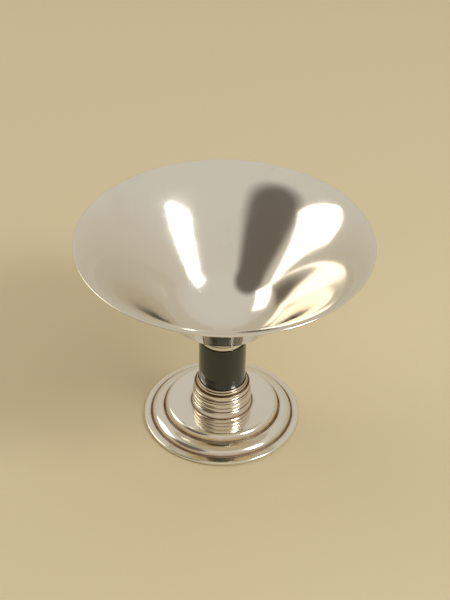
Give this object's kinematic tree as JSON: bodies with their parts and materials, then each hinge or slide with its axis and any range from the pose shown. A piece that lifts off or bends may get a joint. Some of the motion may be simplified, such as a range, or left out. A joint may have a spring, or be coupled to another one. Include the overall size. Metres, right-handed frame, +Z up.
{
  "type": "footed bowl",
  "caption": "Wide flared silver-plated bowl on a glossy black stem and a stepped, moulded round foot, clamped together by a central tie rod.",
  "frame": {"origin": "centre of the circle that the foot stands on", "axes": "+Z up along the turned axis, through the stem to the bowl; +Y away from the viewer, +X to the right"},
  "size_m": [0.21, 0.21, 0.1599],
  "materials": {
    "silver_plate": "polished silver plate on brass, fine scratches, brown tarnish in the grooves",
    "black_gloss": "glossy black",
    "steel": "plain turned steel"
  },
  "bodies": {
    "root": {"bowl": "silver_plate", "foot": "silver_plate", "neck_collar": "silver_plate", "lower_bead_collar": "silver_plate", "lower_fillet_collar": "silver_plate", "upper_ferrule": "silver_plate", "bowl_seat_cup": "silver_plate", "stem_sleeve": "black_gloss", "bowl_boss": "steel", "tie_rod": "steel", "clamp_plate": "steel", "lock_washer": "steel", "hex_nut": "steel"}
  },
  "joints": []
}
